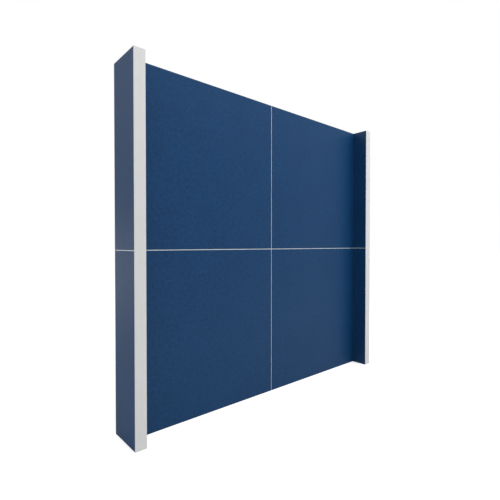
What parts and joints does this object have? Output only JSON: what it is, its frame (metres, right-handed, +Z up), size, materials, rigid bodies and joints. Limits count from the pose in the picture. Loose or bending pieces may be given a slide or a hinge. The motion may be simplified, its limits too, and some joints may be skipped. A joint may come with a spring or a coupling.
{
  "type": "partition wall",
  "caption": "Free-standing exhibition partition of square felt-faced panels keyed together by light strips, with short end wings and levelling feet.",
  "frame": {"origin": "on the floor, under the middle of the wall's bounding box", "axes": "+X along the main wall, to the right as seen from its front; the front faces -Y; +Z up"},
  "size_m": [2.125, 0.25, 2],
  "materials": {
    "felt": "matte needled felt, dark blue with a faint mottled pile",
    "frame_plastic": "light grey extruded plastic",
    "joint_plastic": "white extruded plastic, satin",
    "cap_plastic": "light grey extruded plastic, satin",
    "core_card": "brown corrugated card",
    "block_plastic": "dark grey moulded nylon",
    "zinc_steel": "bright zinc plated",
    "pad_rubber": "black moulded rubber"
  },
  "bodies": {
    "wall": {"lower_left_frame": "frame_plastic", "lower_left_core": "core_card", "lower_left_front_skin": "felt", "lower_left_rear_skin": "felt", "upper_left_frame": "frame_plastic", "upper_left_core": "core_card", "upper_left_front_skin": "felt", "upper_left_rear_skin": "felt", "lower_right_frame": "frame_plastic", "lower_right_core": "core_card", "lower_right_front_skin": "felt", "lower_right_rear_skin": "felt", "upper_right_frame": "frame_plastic", "upper_right_core": "core_card", "upper_right_front_skin": "felt", "upper_right_rear_skin": "felt", "left_wing_lower_frame": "frame_plastic", "left_wing_lower_outer_skin": "felt", "left_wing_lower_inner_skin": "felt", "left_wing_upper_frame": "frame_plastic", "left_wing_upper_outer_skin": "felt", "left_wing_upper_inner_skin": "felt", "right_wing_lower_frame": "frame_plastic", "right_wing_lower_outer_skin": "felt", "right_wing_lower_inner_skin": "felt", "right_wing_upper_frame": "frame_plastic", "right_wing_upper_outer_skin": "felt", "right_wing_upper_inner_skin": "felt", "centre_spline": "joint_plastic", "left_cross_spline": "joint_plastic", "left_wing_spline": "joint_plastic", "left_wall_rail": "joint_plastic", "left_front_end_cap": "cap_plastic", "left_rear_end_cap": "cap_plastic", "right_cross_spline": "joint_plastic", "right_wing_spline": "joint_plastic", "right_wall_rail": "joint_plastic", "right_front_end_cap": "cap_plastic", "right_rear_end_cap": "cap_plastic", "left_top_trim": "cap_plastic", "left_wing_top_trim": "cap_plastic", "right_top_trim": "cap_plastic", "right_wing_top_trim": "cap_plastic", "centre_foot_block": "block_plastic", "left_front_foot_block": "block_plastic", "left_rear_foot_block": "block_plastic", "right_front_foot_block": "block_plastic", "right_rear_foot_block": "block_plastic"},
    "centre_pad": {"centre_foot_pad": "pad_rubber"},
    "centre_stud": {"centre_foot_stud": "zinc_steel"},
    "left_front_pad": {"left_front_foot_pad": "pad_rubber"},
    "left_front_stud": {"left_front_foot_stud": "zinc_steel"},
    "left_rear_pad": {"left_rear_foot_pad": "pad_rubber"},
    "left_rear_stud": {"left_rear_foot_stud": "zinc_steel"},
    "right_front_pad": {"right_front_foot_pad": "pad_rubber"},
    "right_front_stud": {"right_front_foot_stud": "zinc_steel"},
    "right_rear_pad": {"right_rear_foot_pad": "pad_rubber"},
    "right_rear_stud": {"right_rear_foot_stud": "zinc_steel"}
  },
  "joints": [
    {"name": "centre_foot_height", "type": "slide", "parent": "wall", "child": "centre_pad", "axis": [0, 0, -1], "range_m": [-0.002, 0.015]},
    {"name": "centre_foot_turn", "type": "hinge", "parent": "centre_pad", "child": "centre_stud", "pos_m": [0, 0.03125, 0], "axis": [0, 0, -1], "range_deg": [-480, 3600]},
    {"name": "left_front_foot_height", "type": "slide", "parent": "wall", "child": "left_front_pad", "axis": [0, 0, -1], "range_m": [-0.002, 0.015]},
    {"name": "left_front_foot_turn", "type": "hinge", "parent": "left_front_pad", "child": "left_front_stud", "pos_m": [-1.03125, -0.1095, 0], "axis": [0, 0, -1], "range_deg": [-480, 3600]},
    {"name": "left_rear_foot_height", "type": "slide", "parent": "wall", "child": "left_rear_pad", "axis": [0, 0, -1], "range_m": [-0.002, 0.015]},
    {"name": "left_rear_foot_turn", "type": "hinge", "parent": "left_rear_pad", "child": "left_rear_stud", "pos_m": [-1.03125, 0.1095, 0], "axis": [0, 0, -1], "range_deg": [-480, 3600]},
    {"name": "right_front_foot_height", "type": "slide", "parent": "wall", "child": "right_front_pad", "axis": [0, 0, -1], "range_m": [-0.002, 0.015]},
    {"name": "right_front_foot_turn", "type": "hinge", "parent": "right_front_pad", "child": "right_front_stud", "pos_m": [1.03125, -0.1095, 0], "axis": [0, 0, -1], "range_deg": [-480, 3600]},
    {"name": "right_rear_foot_height", "type": "slide", "parent": "wall", "child": "right_rear_pad", "axis": [0, 0, -1], "range_m": [-0.002, 0.015]},
    {"name": "right_rear_foot_turn", "type": "hinge", "parent": "right_rear_pad", "child": "right_rear_stud", "pos_m": [1.03125, 0.1095, 0], "axis": [0, 0, -1], "range_deg": [-480, 3600]}
  ],
  "couplings": [
    {"joint": "centre_foot_turn", "follows": "centre_foot_height", "rad_per_m": 4188.8},
    {"joint": "left_front_foot_turn", "follows": "left_front_foot_height", "rad_per_m": 4188.8},
    {"joint": "left_rear_foot_turn", "follows": "left_rear_foot_height", "rad_per_m": 4188.8},
    {"joint": "right_front_foot_turn", "follows": "right_front_foot_height", "rad_per_m": 4188.8},
    {"joint": "right_rear_foot_turn", "follows": "right_rear_foot_height", "rad_per_m": 4188.8}
  ]
}
